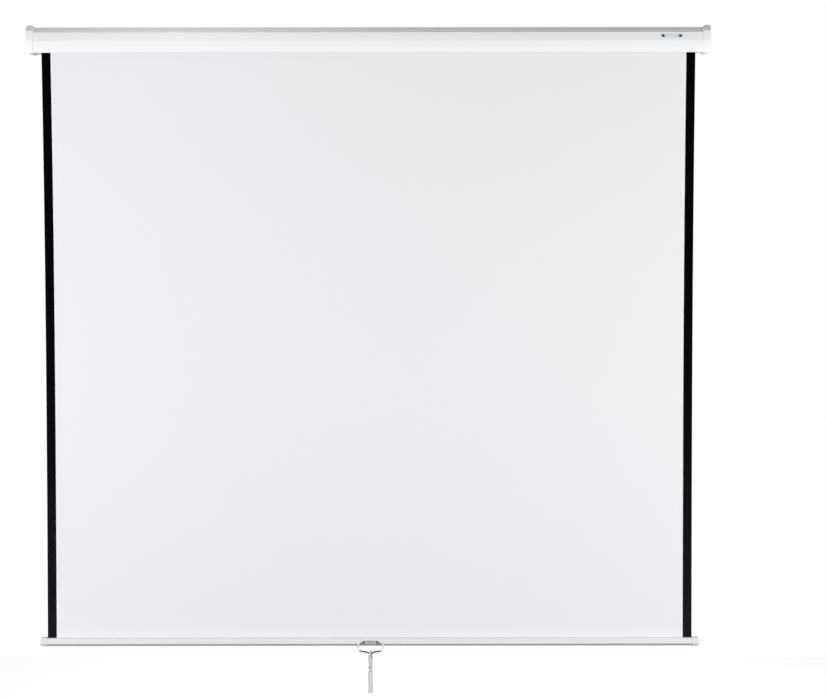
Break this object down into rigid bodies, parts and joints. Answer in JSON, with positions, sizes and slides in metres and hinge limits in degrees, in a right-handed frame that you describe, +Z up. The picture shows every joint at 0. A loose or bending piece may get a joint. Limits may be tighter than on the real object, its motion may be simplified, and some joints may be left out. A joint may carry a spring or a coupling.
{
  "type": "pull-down projection screen",
  "caption": "Wall-hung pull-down projection screen: long white case, sprung ratchet roller, white sheet with black side bands, weighted bottom bar, wire bail and knotted pull cord.",
  "frame": {"origin": "middle of the flat back of the case, where it meets the wall", "axes": "+X along the case to the right as seen from the front, +Y into the wall, +Z up"},
  "size_m": [1.888, 0.0684, 1.8583],
  "materials": {
    "case_white": "satin white powder coat",
    "moulded_white": "fine-grained moulding",
    "screen_cloth": "matt white coated cloth, black-coated back",
    "mask_cloth": "matt black coated cloth",
    "zinc_steel": "zinc plated",
    "plain_steel": "drawn steel",
    "nylon": "natural nylon",
    "plate_aluminium": "satin, blank",
    "black_plastic": "moulded black",
    "dark_metal": "dark grey, satin",
    "bright_wire": "bright plated wire",
    "braided_cord": "braided white cord"
  },
  "bodies": {
    "case": {"case_shell": "case_white", "end_cap_left": "moulded_white", "end_cap_right": "moulded_white", "cap_screw_1_left": "zinc_steel", "cap_screw_1_right": "zinc_steel", "cap_screw_2_left": "zinc_steel", "cap_screw_2_right": "zinc_steel", "cap_screw_3_left": "zinc_steel", "cap_screw_3_right": "zinc_steel", "bearing_plate_left": "zinc_steel", "bearing_plate_right": "zinc_steel", "idle_bush": "nylon", "name_plate": "plate_aluminium", "plate_rivet_left": "black_plastic", "plate_rivet_right": "black_plastic", "ratchet_spindle": "zinc_steel", "arbor_rod": "plain_steel", "roller_spring": "plain_steel", "screen_sheet": "screen_cloth", "mask_band_left": "mask_cloth", "mask_band_right": "mask_cloth"},
    "roller": {"roller_tube": "plain_steel", "ferrule": "nylon", "idle_plug": "nylon", "gudgeon_pin": "plain_steel", "wound_fabric": "screen_cloth", "spring_plug": "nylon", "pawl_pin": "plain_steel"},
    "pawl": {"pawl": "zinc_steel"},
    "bottom_bar": {"bar_tube": "case_white", "hem_rod": "plain_steel", "bar_cap_left": "moulded_white", "bar_cap_right": "moulded_white", "handle_saddle": "dark_metal", "saddle_rivet_left": "plain_steel", "saddle_rivet_right": "plain_steel"},
    "bail": {"bail": "bright_wire"},
    "pull_cord": {"pull_cord_front": "braided_cord", "pull_cord_back": "braided_cord"}
  },
  "joints": [
    {"name": "screen_travel", "type": "slide", "parent": "case", "child": "bottom_bar", "axis": [0, 0, 1], "range_m": [0, 1.612], "deforming": ["screen_sheet", "mask_band_left", "mask_band_right"]},
    {"name": "roller_turn", "type": "hinge", "parent": "case", "child": "roller", "pos_m": [0, -0.02855, 0], "axis": [1, 0, 0], "range_deg": [-4690, 0]},
    {"name": "pawl_swing", "type": "hinge", "parent": "roller", "child": "pawl", "pos_m": [-0.9111, -0.01655, 0.005], "axis": [1, 0, 0], "range_deg": [-31, 0]},
    {"name": "bail_swing", "type": "hinge", "parent": "bottom_bar", "child": "bail", "pos_m": [0.0025, -0.05955, -1.67475], "axis": [-1, 0, 0], "range_deg": [0, 140]},
    {"name": "cord_swing", "type": "hinge", "parent": "bail", "child": "pull_cord", "pos_m": [0.0025, -0.05955, -1.70225], "axis": [-1, 0, 0], "range_deg": [-141, 0]}
  ],
  "couplings": [
    {"joint": "roller_turn", "follows": "screen_travel", "rad_per_m": -50.671},
    {"joint": "cord_swing", "follows": "bail_swing", "ratio": -1}
  ]
}
